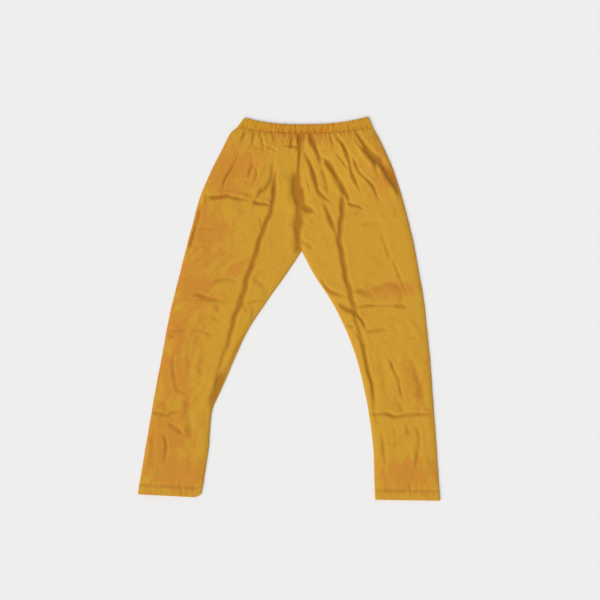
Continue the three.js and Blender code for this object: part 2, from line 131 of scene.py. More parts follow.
# Folds, each a smooth curve through its places (x, y). `depth` is how far the trough goes down,
# and is negative for a ridge. `width` is the half width, `sharp` runs from 0 for a soft fold to 1
# for a pressed crease, and `lean` raises more of the cloth on the left of the way the fold runs.
FOLD_COLUMNS = "depth width sharp lean route".split()
FRONT_FOLDS = [
    # the cloth billows out below the elastic
    (-2.2, 58, 0, 0, ((-40, 470), (-120, 285))),
    (-3.4, 58, 0, 0, ((95, 470), (215, 262))),
    (-1.8, 34, 0, 0, ((8, 400), (60, 220))),
    # gathers that the elastic lets out
    (3.8, 4, 0.4, 0, ((-98, 464), (-108, 430), (-122, 398))),
    (4.2, 3.5, 0.4, 0, ((-88, 464), (-86, 428), (-90, 386))),
    (3.8, 3.5, 0.4, 0, ((-76, 462), (-68, 424), (-58, 380))),
    (2.6, 3, 0.4, 0, ((-58, 460), (-56, 434), (-52, 414))),
    (3.2, 4, 0.4, 0, ((-38, 460), (-37, 430), (-34, 402))),
    (2.4, 3, 0.4, 0, ((-20, 458), (-12, 432), (-4, 410))),
    (4.2, 4, 0.4, 0, ((6, 458), (7, 420), (4, 378))),
    (3.4, 3.5, 0.4, 0, ((22, 458), (24, 420), (28, 382))),
    (4, 4, 0.3, 0, ((37, 458), (38, 420), (35, 378))),
    (2.4, 3, 0.4, 0, ((80, 460), (81, 432), (84, 410))),
    (3.4, 3.5, 0.4, 0, ((103, 460), (104, 424), (112, 388))),
    (2, 3, 0.4, 0, ((150, 462), (152, 440), (156, 424))),
    (2.8, 3, 0.4, 0, ((176, 464), (182, 436), (192, 410))),
    # drag lines from the front of the waist across the left hip
    (5.8, 4.5, 0.3, -0.4, ((33, 398), (44, 374), (56, 345), (66, 312), (72, 290), (84, 276),
                           (100, 263), (114, 252))),
    (4.2, 5, 0.3, -0.3, ((85, 270), (93, 242), (104, 214), (114, 190), (121, 168))),
    (6.6, 5, 0.3, -0.5, ((50, 442), (58, 412), (68, 388), (76, 366), (82, 342))),
    (3, 4.5, 0.2, -0.4, ((80, 358), (88, 325), (94, 295), (98, 270))),
    (2.2, 2.2, 0.8, 0, ((38, 342), (46, 312), (53, 288), (62, 277))),
    (7.2, 6, 0.25, -0.6, ((74, 380), (92, 362), (108, 338), (122, 314), (136, 290), (147, 266),
                          (146, 248))),
    (4, 3, 0.5, 0, ((139, 261), (156, 254), (172, 250), (186, 239))),
    (2, 2.2, 0.8, 0, ((72, 386), (90, 389), (110, 396), (130, 396))),
    (6, 4, 0.4, -0.5, ((106, 448), (120, 420), (135, 396), (147, 368), (152, 342), (161, 318),
                       (172, 294), (184, 268))),
    (3, 4, 0.2, -0.2, ((112, 388), (130, 364), (148, 340))),
    (4.6, 3.4, 0.4, -0.4, ((148, 384), (162, 360), (172, 336), (190, 318), (206, 300),
                           (216, 276), (230, 256))),
    (8, 6, 0.25, -0.6, ((154, 448), (170, 424), (186, 398), (200, 374), (212, 350), (223, 314))),
    (4, 4, 0.3, -0.2, ((157, 422), (174, 398), (194, 376))),
    (6.4, 6, 0.2, -0.5, ((196, 396), (222, 356), (244, 326), (262, 298), (277, 258))),
    (4, 13, 0, -0.2, ((206, 386), (236, 348), (262, 312), (281, 266))),
    (1.8, 2, 0.9, 0, ((128, 222), (150, 230), (172, 236), (190, 242))),
    (3.4, 3.4, 0.3, 0, ((131, 280), (130, 252), (127, 228))),
    # along and beside the front seam
    (5, 7, 0.2, 0, ((30, 448), (28, 420), (25, 392), (24, 372))),
    (3, 2.6, 0.4, 0, ((26, 392), (25, 362), (23, 312))),
    (9, 14, 0.1, 0, ((22, 356), (18, 320), (20, 292), (29, 266), (40, 242), (46, 210))),
    (5.5, 5, 0.3, 0, ((10, 274), (36, 251), (56, 241), (74, 236))),
    (3, 3, 0.4, 0, ((31, 304), (34, 272), (38, 254))),
    (7, 8.5, 0.3, 0, ((26, 286), (24, 226), (22, 180), (27, 118))),
    (2, 8, 0, 0, ((26, 218), (48, 202))),
    (2.4, 5, 0.2, 0, ((26, 166), (44, 160), (60, 144))),
    (2, 4, 0.3, 0, ((23, 154), (12, 132))),
    # right hip
    (3.8, 3, 0.5, 0.4, ((-118, 396), (-124, 374), (-138, 346), (-154, 320), (-162, 290),
                        (-165, 266))),
    (2, 3.5, 0.2, 0, ((-87, 406), (-98, 388), (-105, 376))),
    (3, 4, 0.3, 0, ((-83, 364), (-92, 340), (-101, 315))),
    (2.8, 3, 0.4, 0, ((-80, 348), (-78, 326), (-86, 308), (-99, 290))),
    (4.6, 5, 0.3, 0.4, ((-34, 374), (-40, 344), (-43, 318), (-56, 296), (-70, 282), (-77, 260))),
    (4.8, 4.5, 0.3, 0.4, ((-25, 354), (-34, 322), (-36, 296), (-38, 268), (-47, 244))),
    (3.4, 3, 0.4, 0, ((-18, 400), (6, 398), (30, 396))),
    (1.8, 2.5, 0.5, 0, ((-62, 401), (-44, 394), (-20, 381))),
    (1.6, 3, 0.3, 0, ((-82, 397), (-60, 391))),
    (5, 4.2, 0.5, 0.8, ((-212, 281), (-190, 273), (-170, 274), (-150, 276), (-126, 270),
                        (-88, 264))),
    (4.8, 4, 0.4, 0.4, ((-92, 266), (-76, 258), (-58, 257), (-40, 250))),
    (3.4, 4.5, 0.3, 0, ((-62, 300), (-76, 278), (-84, 256))),
    (2, 10, 0, 0, ((-110, 281), (-82, 273))),
    (2, 3, 0.4, 0, ((-206, 286), (-202, 270), (-206, 250))),
    (4.6, 4.5, 0.4, 0, ((-214, 264), (-223, 220), (-235, 180), (-244, 146), (-252, 112))),
    (1.8, 2.2, 0.7, 0, ((-68, 232), (-68, 208), (-66, 188))),
    (1.2, 2, 0.8, 0, ((-44, 236), (-22, 238), (0, 236))),
    # knees, where the pair was folded across
    (2.4, 5, 0.3, 0, ((-190, 60), (-170, 70), (-148, 72), (-130, 66), (-121, 56))),
    (2, 5, 0.2, 0, ((-90, 75), (-72, 64), (-54, 53))),
    (1.8, 8, 0, 0, ((-58, 60), (-56, 22))),
    (3.6, 4.5, 0.4, 0.6, ((-244, 34), (-222, 34), (-205, 28), (-184, 24), (-150, 20))),
    (2.3, 2.2, 0.9, 0.6, ((-300, 20), (-250, 22), (-180, 19), (-120, 17), (-36, 22))),
    (2.8, 3, 0.5, 0.4, ((-114, 12), (-96, 14), (-80, 20), (-60, 22), (-48, 25))),
    (2.6, 4, 0.3, 0, ((-117, 16), (-108, 4), (-99, -6))),
    (1.8, 5, 0.1, 0, ((-86, 12), (-88, -14), (-95, -37))),
    (1.6, 6, 0, 0, ((-180, 17), (-167, -12))),
    (2, 4, 0.2, 0, ((-192, -12), (-176, -26), (-158, -37))),
    (3.8, 4.5, 0.3, -0.2, ((72, 85), (84, 62), (96, 46), (112, 38), (134, 32), (150, 27))),
    (2.8, 7, 0.1, 0, ((154, 44), (178, 44), (198, 36), (214, 33))),
    (2, 7, 0.1, 0, ((204, 42), (224, 54), (246, 60), (268, 54), (282, 40))),
    (1.6, 6, 0, 0, ((276, 44), (276, 10))),
    (3, 3, 0.5, 0.5, ((153, 4), (176, 5), (196, 8), (226, 8))),
    (2, 5, 0.2, 0, ((255, 8), (276, 8), (294, 4))),
    (2.1, 2.2, 0.9, 0.4, ((96, 22), (160, 12), (240, 8), (336, 3))),
    (5, 6, 0.2, 0, ((118, 16), (134, 4), (150, -4), (168, -6))),
    (4.2, 4.5, 0.3, -0.4, ((152, 5), (166, -14), (178, -28), (186, -44), (188, -60))),
    (3.4, 3.2, 0.5, 0.6, ((182, -57), (204, -54), (226, -50), (250, -52))),
    # shins, calves and ankles
    (2.4, 3.5, 0.4, 0.4, ((-300, -52), (-280, -54), (-262, -52), (-242, -50))),
    (2, 3.5, 0.4, 0.4, ((-240, -50), (-222, -50), (-206, -58), (-178, -62))),
    (2, 4, 0.2, 0, ((-298, -66), (-274, -68))),
    (3, 3, 0.4, 0, ((-93, -28), (-110, -62), (-126, -94), (-142, -130), (-158, -168),
                    (-172, -206), (-189, -246))),
    (5.6, 7.5, 0.1, 0, ((-150, -128), (-165, -170), (-177, -204), (-184, -232), (-182, -262),
                       (-176, -290))),
    (1.9, 4.5, 0.2, -0.3, ((-280, -96), (-284, -142), (-278, -172), (-274, -196), (-258, -204),
                         (-226, -207))),
    (2.4, 9, 0, 0, ((-246, -206), (-250, -246), (-244, -290), (-242, -334))),
    (4, 3.8, 0.5, 0.6, ((-352, -252), (-320, -255), (-300, -260), (-282, -252), (-258, -252))),
    (2.8, 5, 0.2, 0, ((-302, -275), (-284, -286), (-268, -298), (-254, -312))),
    (2.4, 4, 0.3, 0, ((-308, -296), (-300, -330), (-301, -352), (-306, -392))),
    (1.4, 6, 0, 0, ((-341, -300), (-334, -345), (-342, -388))),
    (1.2, 12, 0, 0, ((-338, -366), (-306, -420))),
    (1.2, 6, 0.1, 0, ((-234, -130), (-208, -160))),
    (2.6, 4, 0.3, 0, ((140, -39), (162, -45))),
    (2.4, 3.2, 0.4, 0, ((149, -46), (166, -62), (178, -84), (186, -110), (192, -140),
                        (200, -170), (207, -204), (208, -236))),
    (1.6, 4, 0.2, 0, ((226, -78), (248, -83))),
    (1.4, 3, 0.4, 0, ((278, -70), (300, -70), (322, -72))),
    (2.6, 3.6, 0.3, -0.3, ((243, -112), (258, -152), (268, -170), (272, -194), (282, -232))),
    (2.4, 9, 0, 0, ((291, -110), (306, -150), (318, -182), (324, -212), (340, -248))),
    (2, 5, 0.1, 0, ((269, -226), (279, -254))),
    (1, 7, 0, 0, ((-316, -130), (-322, -190), (-334, -240))),
    (1, 6, 0, 0, ((-206, -70), (-212, -130), (-222, -196))),
    (0.9, 6, 0, 0, ((-236, -60), (-246, -112), (-240, -170))),
    (0.9, 8, 0, 0, ((220, -110), (232, -170), (238, -236))),
    (1.1, 5, 0.2, 0, ((-340, -212), (-318, -226), (-292, -232))),
    (1, 5, 0.1, 0, ((-326, -284), (-334, -326), (-340, -372))),
    (1, 4, 0.2, 0, ((256, -282), (262, -318), (258, -360))),
    (0.8, 4, 0.3, 0, ((-230, 200), (-196, 196), (-160, 202))),
    (0.8, 4, 0.3, 0, ((-244, 160), (-214, 152), (-180, 156))),
    (0.8, 4, 0.3, 0, ((-262, 96), (-236, 100), (-204, 94))),
    (1.8, 4, 0.3, 0, ((222, 196), (236, 156), (252, 110))),
    (2, 3.5, 0.4, 0, ((252, 128), (268, 86), (282, 54), (296, 24))),
    (1.2, 7, 0.1, 0, ((172, 204), (198, 208), (230, 214))),
    (4, 4, 0.5, 0.6, ((176, -258), (216, -257), (240, -256), (262, -264), (300, -258),
                        (376, -258))),
    (2.2, 5, 0.2, 0, ((222, -290), (230, -322), (232, -350), (240, -396))),
    (2, 5, 0.1, 0, ((287, -279), (295, -313))),
    (2.4, 5, 0.2, 0, ((310, -278), (318, -312), (316, -346), (308, -400))),
    (1.4, 4, 0.2, 0, ((233, -328), (262, -330), (286, -325))),
    # where the turned-up hems pucker
    (1.6, 3, 0.3, 0, ((-267, -426), (-260, -458))),
    (1.6, 3, 0.3, 0, ((292, -422), (298, -446), (300, -466))),
]

# Folds of the back layer, which lies on the table. Their troughs are lifted off it.
BACK_FOLDS = [
    # gathers below the elastic
    (1.3, 7, 0.3, 0, ((-72, 460), (-78, 430), (-84, 396))),
    (1.1, 6, 0.3, 0, ((-30, 447), (-40, 402))),
    (1.1, 6, 0.3, 0, ((4, 446), (-6, 404))),
    (1.3, 6, 0.3, 0, ((58, 446), (52, 398))),
    (1.4, 7, 0.3, 0, ((110, 447), (118, 392))),
    (1.2, 6, 0.3, 0, ((156, 452), (170, 404))),
    # drag lines over the seat and under it
    (1.5, 9, 0.2, 0, ((18, 430), (-4, 372), (-36, 306))),
    (1.5, 9, 0.2, 0, ((40, 420), (60, 362), (92, 300))),
    (1.4, 8, 0.3, 0, ((-62, 400), (-84, 348), (-118, 292))),
    (1.5, 9, 0.2, 0, ((124, 404), (164, 344), (190, 286))),
    (1.3, 8, 0.1, 0, ((6, 236), (-12, 208), (-40, 176))),
    (1.3, 8, 0.1, 0, ((44, 232), (60, 200), (88, 170))),
    # pressed creases across the hips, down the legs and across the knees and calves
    (1.3, 6, 0.6, 0, ((-206, 276), (-134, 270), (-64, 262))),
    (1.3, 6, 0.6, 0, ((96, 262), (180, 268), (262, 276))),
    (1.8, 9, 0.3, 0, ((-56, 226), (-80, 142), (-101, 70), (-126, -10), (-150, -90), (-174, -170),
                     (-196, -246))),
    (1.8, 9, 0.3, 0, ((126, 222), (134, 140), (145, 74), (161, -8), (178, -92), (196, -170),
                     (212, -244))),
    (1.4, 6, 0.6, 0, ((-272, 20), (-170, 18), (-66, 14))),
    (1.4, 6, 0.6, 0, ((112, 10), (214, 8), (318, 6))),
    (0.9, 6, 0.4, 0, ((-296, -54), (-150, -64))),
    (0.9, 6, 0.4, 0, ((168, -58), (310, -66))),
    (1.3, 6, 0.5, 0, ((-332, -252), (-204, -260))),
    (1.3, 6, 0.5, 0, ((204, -262), (346, -256))),
    # soft folds of the calves and ankles
    (1, 11, 0, 0, ((-286, -100), (-270, -220))),
    (1, 11, 0, 0, ((296, -110), (312, -232))),
    (0.9, 9, 0.1, 0, ((-262, -300), (-276, -392))),
    (0.9, 9, 0.1, 0, ((270, -296), (262, -396))),
]

# Where the cloth is painted a deeper, more orange shade: mostly painted shade for the light falling
# off over the outside of the right leg and at the hems, with a few smaller patches elsewhere. x and
# y, half width and half height, and how much.
FALLOFF_SHADE_PATCHES = [
    (-150, 345, 95, 74, 0.85), (-200, 190, 62, 86, 0.85), (-240, 62, 70, 84, 0.9),
    (-275, -50, 66, 64, 0.85), (-285, -160, 58, 84, 0.8), (-305, -330, 68, 110, 0.9),
    (-270, -405, 80, 52, 0.9), (290, -408, 75, 46, 0.9), (245, 46, 70, 20, 0.8),
    (240, 335, 38, 70, 0.7), (40, 424, 190, 24, 0.6), (-115, 110, 50, 46, 0.5),
    (-150, 300, 70, 50, 0.6), (310, -190, 40, 80, 0.45),
]


def clamp01(v):
    return np.clip(v, 0, 1)


def smoothstep(v, low, high):
    t = clamp01((v - low) / (high - low))
    return t * t * (3 - 2 * t)


def lerp(a, b, t):
    return a + (b - a) * t


def column(names, rows, name, y):
    """One column of a table at the heights y, as a smooth curve through its rows."""
    levels = np.array([row[0] for row in rows], float)[::-1]
    values = np.array([row[names.index(name)] for row in rows], float)[::-1]
    ends = np.arange(len(levels))
    below, above = np.maximum(ends - 1, 0), np.minimum(ends + 1, len(levels) - 1)
    slopes = (values[above] - values[below]) / (levels[above] - levels[below])
    i = np.clip(np.searchsorted(levels, y, side="right") - 1, 0, len(levels) - 2)
    h = levels[i + 1] - levels[i]
    f = clamp01((y - levels[i]) / h)
    return (values[i] * (1 - f) ** 2 * (1 + 2 * f) + values[i + 1] * f * f * (3 - 2 * f)
            + h * f * (1 - f) * (slopes[i] * (1 - f) - slopes[i + 1] * f))


def levels_of(side, y):
    """The sizes of one leg at the heights y."""
    def along(name, hip_name):
        return np.where(y >= FORK, column(HIPS_COLUMNS, HIPS, hip_name, y),
                        column(LEGS_COLUMNS, LEGS, name, y))

    hem = 1 - smoothstep(y, HEM_TOP, HEM_TOP + HEM_RISE)
    closed = 1 - smoothstep(y, FORK, FORK + FORK_BLEND)
    waver = sum(height * np.sin(y / length + shift * WAY[side])
                for height, length, shift in EDGE_WAVES)
    slack = smoothstep(WAIST - y, 0, EDGES_WAVER_FROM) * (1 - hem)
    return {
        "y": y,
        "closed": closed,
        "inner": (along(side + "Inner", "seam") + WAY[side] * SEAM_GAP / 2
                  + WAY[side] * closed * slack * waver),
        "outer": along(side + "Outer", side + "Outer") + slack * waver,
        "crease": along(side + "Crease", side + "Crease"),
        "dip": along(side + "Dip", side + "Dip"),
        "wall": lerp(WALL, HEM_WALL, 1 - smoothstep(y, HEM_TOP - 2, HEM_TOP + 2)),
        "radius": LAYER_GAP / 2 + lerp(WALL, HEM_WALL, hem),
        "puff": lerp(PUFF, HEM_PUFF, hem),
        "hem": hem,
        "sag": WAIST_SAG * smoothstep(y, SAG_FROM, WAIST),
        "drop": 1 - smoothstep(y, HEM_TOP, HEM_TOP + HEM_DROP_BLEND),
    }


def plan(side, level, s):
    """Where the share s of the way from the inner edge to the side lies on the table."""
    from_inseam = s * np.abs(level["outer"] - level["inner"])
    corner = HEM_CORNER[side] * np.exp(-(from_inseam / HEM_CORNER_REACH) ** 1.5)
    drop = lerp(*HEM_DROP[side], s) - corner
    x = lerp(level["inner"], level["outer"], s)
    y = level["y"] - level["sag"] * (1 - s ** SAG_SHAPE) - level["drop"] * drop
    return x, y


def smooth_route(route, pitch=4):
    """Places along a smooth curve through the route, about `pitch` apart."""
    knots = np.array(route, float)
    knots = np.vstack([2 * knots[0] - knots[1], knots, 2 * knots[-1] - knots[-2]])
    places = []
    for a, b, c, d in zip(knots, knots[1:], knots[2:], knots[3:]):
        steps = max(2, int(np.hypot(*(c - b)) / pitch))
        t = np.linspace(0, 1, steps, endpoint=False)[:, None]
        places.append(0.5 * (2 * b + (c - a) * t + (2 * a - 5 * b + 4 * c - d) * t ** 2
                             + (3 * b - a - 3 * c + d) * t ** 3))
    return np.vstack(places + [knots[-2]])


def laid_out(folds):
    """The folds of a table as dictionaries, each with its smooth route worked out."""
    ready = []
    for row in folds:
        fold = dict(zip(FOLD_COLUMNS, row))
        places = smooth_route(fold["route"])
        steps = np.diff(places, axis=0)
        lengths = np.hypot(*steps.T)
        ways = steps / lengths[:, None]
        ready.append({**fold, "places": places[:-1], "ways": ways, "lengths": lengths,
                      "run": np.cumsum(lengths) - lengths, "total": lengths.sum()})
    return ready


FOLD_REACH = 3.4  # in half widths: past this a fold adds nothing
LIP_AT, LIP_WIDTH = 2.1, 1.1  # in half widths
FOLD_BEGINS, FOLD_DIES = 0.25, 0.32  # shares of its length over which it deepens and fades


def fold_relief(folds, x, y):
    """Height that the folds add at each point."""
    x, y = np.broadcast_arrays(x, y)
    relief = np.zeros(x.shape)
    for number, fold in enumerate(folds):
        reach = FOLD_REACH * fold["width"]
        (left, low), (right, high) = fold["places"].min(0) - reach, fold["places"].max(0) + reach
        near = (x > left) & (x < right) & (y > low) & (y < high)
        if not near.any():
            continue
        dx = x[near][:, None] - fold["places"][:, 0]
        dy = y[near][:, None] - fold["places"][:, 1]
        along = np.clip(dx * fold["ways"][:, 0] + dy * fold["ways"][:, 1], 0, fold["lengths"])
        gap_x, gap_y = dx - along * fold["ways"][:, 0], dy - along * fold["ways"][:, 1]
        nearest = np.argmin(gap_x ** 2 + gap_y ** 2, axis=1)
        pick = (np.arange(len(nearest)), nearest)
        far = np.hypot(gap_x[pick], gap_y[pick])
        off = far * np.sign(fold["ways"][nearest, 0] * gap_y[pick]
                            - fold["ways"][nearest, 1] * gap_x[pick])
        run = fold["run"][nearest] + along[pick]
        share = run / fold["total"]
        taper = smoothstep(share, 0, FOLD_BEGINS) * smoothstep(1 - share, 0, FOLD_DIES)
        # no fold keeps its depth or its width
        depth = fold["depth"] * taper * (1 + 0.2 * np.sin(run / 13 + 1.7 * number))
        width = fold["width"] * (0.6 + 0.4 * taper) * (1 + 0.16 * np.sin(run / 9 + 2.3 * number))
        u = off / width
        profile = -np.exp(-np.abs(u) ** (2 - 0.9 * fold["sharp"]))
        if fold["depth"] > 0:  # the cloth pushed out of a trough stands up beside it
            left_lip = (1 + fold["lean"]) * np.exp(-((u - LIP_AT) / LIP_WIDTH) ** 2)
            right_lip = (1 - fold["lean"]) * np.exp(-((u + LIP_AT) / LIP_WIDTH) ** 2)
            profile += LIP * (left_lip + right_lip)
        relief[near] += depth * profile
    return relief


FRONT_LAID = laid_out(FRONT_FOLDS)
BACK_LAID = laid_out(BACK_FOLDS)


def falloff_shade(x, y):
    """How much of the painted deeper shade the cloth has at each point, before the fine unevenness
    of its dye.
    """
    tone = np.zeros(np.broadcast(x, y).shape)
    for mid_x, mid_y, half_width, half_height, amount in FALLOFF_SHADE_PATCHES:
        tone = np.maximum(tone, amount * np.exp(-((x - mid_x) / half_width) ** 2
                                                - ((y - mid_y) / half_height) ** 2))
    return tone


def sway(x, y):
    """The slack of cloth that lies loosely, a fraction of a millimetre high."""
    return (0.34 * np.sin(x / 31 + y / 47 + 0.4) + 0.26 * np.sin(y / 23 - x / 37 + 1.3)
            + 0.18 * np.sin((x + 0.6 * y) / 13.1) + 0.12 * np.sin((x - 1.4 * y) / 9.7 + 2.0))


def rumple(x, y):
    """Shallow ridges that wander down the legs, most of all over the shins."""
    bend = 2.2 * np.sin(y / 37 + 0.7) + 1.1 * np.sin(y / 13 + x / 90)
    share = 0.3 + 0.7 * smoothstep(-y, -20, 60)
    return 0.42 * share * np.sin(x / 5.2 + bend) * (0.5 + 0.5 * np.sin(x / 43 - y / 61))


CREASE_WIDTH = 6  # half width of the long crease
CREASE_DEPTH = 2.3  # how deep it is for each millimetre of a level's dip
CREASE_LIP = 0.25  # and how high the cloth stands beside it
CREASE_LIP_AT = 11


def pressed_crease(level, x):
    """The long crease down the leg, with the cloth raised on both sides of it."""
    wander = 1.6 * np.sin(level["y"] / 17) + 1.1 * np.sin(level["y"] / 7.3 + 1)
    away = np.abs(x - level["crease"] - wander)
    return level["dip"] * (
        CREASE_LIP * np.exp(-((away - CREASE_LIP_AT) / CREASE_WIDTH) ** 2)
        - CREASE_DEPTH * np.exp(-((away / CREASE_WIDTH) ** 1.5)))


GATHERS = 14  # across the front of a leg
GATHER_LIFT = 1.8


def gathers(level, s):
    """Ripples that run down from the casing, each dying out at its own distance."""
    turn = 2 * np.pi * GATHERS * s
    reach = 15 + 8 * np.sin(0.43 * turn + 1) + 4 * np.sin(1.1 * turn)
    ripple = np.cos(turn + 1.4 * np.sin(0.37 * turn)) + 0.6 * np.cos(2.3 * turn + level["y"] / 9)
    return GATHER_LIFT * ripple * np.exp(-(WAIST - level["y"]) / reach)


def near_edges(face, level, s, width):
    """How much of its height a layer keeps towards its side and towards its inner edge, and how far
    it rolls in to the seam."""
    reach, roll_reach = EDGE_REACH[face], SEAM_ROLL_REACH[face]
    from_outer = 1 - np.exp(-(1 - s) * width / reach)
    from_inner = 1 - level["closed"] * np.exp(-s * width / reach)
    roll = SEAM_ROLL[face] * (1 - level["closed"]) * np.exp(-((s * width / roll_reach) ** 2))
    return from_outer, from_inner, roll


SOFT_FLOOR = 0.8  # how gently a deep trough flattens out on the layer below
UNSHADED = 0.3  # a trough has to be deeper than this to look shaded
TROUGH_SHADED = 4.5  # and by this much more to look fully shaded
SEAM_SHADE = 0.8  # how shaded the cloth looks where it rolls in to the front seam


def front_height(side, level, s):
    """Height of the outside of the front layer above the table, and how much painted shade it gets
    for how deep in a fold it is, for its roll in to the front seam and for the hem's stitching.
    """
    x, y = plan(side, level, s)
    width = np.abs(level["outer"] - level["inner"])
    folds = fold_relief(FRONT_LAID, x, y) + pressed_crease(level, x) + gathers(level, s)
    hem_ripple = HEM_RIPPLE * level["hem"] * np.sin(x / 2.3 + 1.2 * np.sin(x / 17))
    slack = (sway(x, y) + rumple(x, y)) * (1 - 0.6 * level["hem"])
    raw = level["puff"] + folds + slack + hem_ripple
    lift = 0.5 * (raw + np.hypot(raw, SOFT_FLOOR))
    lift = lift * (1 - 0.5 * np.exp(-(WAIST - level["y"]) / DRAWN_DOWN))
    from_outer, from_inner, roll = near_edges("front", level, s, width)
    stitched = sum(np.exp(-(((level["y"] - row) / HEM_GROOVE) ** 2)) for row in HEM_ROWS)
    z = 2 * level["radius"] + lift * from_outer * from_inner - roll - HEM_GROOVE_DEPTH * stitched
    z = np.maximum(z, back_lift(side, level, s) + 2 * level["wall"] + RESTS)  # lies on the back
    # painted shade: the deeper a trough, a stitched groove or the roll in to the seam, the darker
    # the cloth is painted there
    shade = np.maximum(-(folds + UNSHADED) / TROUGH_SHADED, HEM_GROOVE_SHADE * stitched)
    return z, clamp01(np.maximum(shade, roll / SEAM_ROLL["front"] * SEAM_SHADE))


BACK_PRESSED = 0.12  # the cloth's own weight presses a fold of the back down by this much
BACK_AT_CASING = (0.5, 2.5)  # how far it is lifted there, and over what distance
BACK_AT_HEM_TOP = (0.45, 2.2)


def back_lift(side, level, s):
    """How far the outside of the back layer is off the table."""
    x, y = plan(side, level, s)
    width = np.abs(level["outer"] - level["inner"])
    raw = -fold_relief(BACK_LAID, x, y) - BACK_PRESSED
    from_outer, from_inner, roll = near_edges("back", level, s, width)
    lifted, over = BACK_AT_CASING
    casing = lifted * np.exp(-(WAIST - level["y"]) / over)
    lifted, over = BACK_AT_HEM_TOP
    stitched = lifted * np.exp(-(((level["y"] - HEM_TOP) / over) ** 2))
    return np.maximum(raw, 0) * (from_outer * from_inner) + roll + casing + stitched


def leg_rows():
    """Heights of the rows of points of a leg, closer together over its folds and its hem."""
    return np.concatenate([
        np.arange(WAIST, HIP_ROWS_DOWN_TO, -ROW_PITCH["hips"]),
        np.arange(HIP_ROWS_DOWN_TO, HEM_ROWS_FROM, -ROW_PITCH["legs"]),
        np.arange(HEM_ROWS_FROM, HEM + HEM_WALL / 2, -ROW_PITCH["hem"])])


def leg_sections(side):
    """Outside and inside points of the cloth, a row for each level and a column for each place on
    the way from the front seam round the side to the back seam."""
    way = WAY[side]
    hem_edge = HEM_WALL / 2  # the fold of the hem is a half round
    y = leg_rows()
    level_y = np.concatenate([y, HEM + hem_edge * (1 - np.sin(HEM_EDGE_TURNS))])[:, None]
    pinch = np.concatenate([np.ones(len(y)), np.cos(HEM_EDGE_TURNS)])[:, None]
    level = levels_of(side, level_y)
    radius, wall, closed = level["radius"], level["wall"], level["closed"]
    inner, outer = level["inner"], level["outer"]
    hollow = radius - wall
    width = np.abs(outer - inner)
    ones = np.ones_like(level_y)

    def flat(s):
        return lerp(radius / width, 1 - radius / width, s)

    columns = []

    def add(x_out, y_out, z_out, x_in, z_in, shade, across):
        columns.append([v * ones for v in (x_out, y_out, z_out, x_in, z_in, shade, across)])

    seam_y = plan(side, level, 0)[1]

    def add_sewn_edge(turns, up, height, shade):
        """The columns of one layer's sewn edge, which bends round to the other layer where the leg
        is a closed tube. `up` is 1 for the front layer and -1 for the back one."""
        middle_z = radius + up * SEAM_GAP / 2
        for angle in turns:
            x = inner + way * radius * (1 - np.cos(angle))
            bend = up * np.sin(angle)
            add(x, seam_y, lerp(height, middle_z + (radius - SEAM_GAP / 2) * bend, closed),
                lerp(x, inner + way * (radius - hollow * np.cos(angle)), closed),
                lerp(height - up * wall, middle_z + (hollow - SEAM_GAP / 2) * bend, closed),
                shade, 0)

    top, edge_shade = front_height(side, level, flat(0))
    add_sewn_edge(SEAM_TURNS, 1, top, edge_shade * (1 - closed))
    middle = (level["crease"] - inner) / (outer - inner)
    for share in np.linspace(0, 1, FRONT_COLUMNS):
        # columns stand closer together along the pressed crease, and not at the edges
        near = share - CREASE_CROWDING * np.sin(2 * np.pi * (share - middle)) * smoothstep(
            level_y, CROWDED_FROM, CROWDED_BELOW) * 4 * share * (1 - share)
        x, y_out = plan(side, level, flat(near))
        z, shade = front_height(side, level, flat(near))
        add(x, y_out, z, x, z - wall, shade, near * width)
    side_y = plan(side, level, 1)[1]
    for angle in SIDE_TURNS:
        c, n = np.cos(angle), np.sin(angle)
        centre = outer - way * radius
        add(centre + way * radius * c, side_y, radius + radius * n,
            centre + way * hollow * c, radius + hollow * n, 0, width)
    for share in np.linspace(1, 0, BACK_COLUMNS):
        x, y_out = plan(side, level, flat(share))
        z = back_lift(side, level, flat(share))
        # painted shade: the back's folds are painted darker the higher they stand
        add(x, y_out, z, x, z + wall, clamp01(z / BACK_SHADED), share * width)
    add_sewn_edge(SEAM_TURNS[::-1], -1, back_lift(side, level, flat(0)), 0)

    x_out, y_out, z_out, x_in, z_in, shade, across = (
        np.hstack([c[k] for c in columns]) for k in range(7))
    outside = np.dstack([x_out, y_out, z_out])
    inside = np.dstack([x_in, y_out, z_in])
    between = (outside + inside) / 2
    outside = between + (outside - between) * pinch[:, :, None]
    inside = between + (inside - between) * pinch[:, :, None]
    grain = np.dstack([across, y_out, np.zeros_like(across)])
    return outside, inside, grain, shade


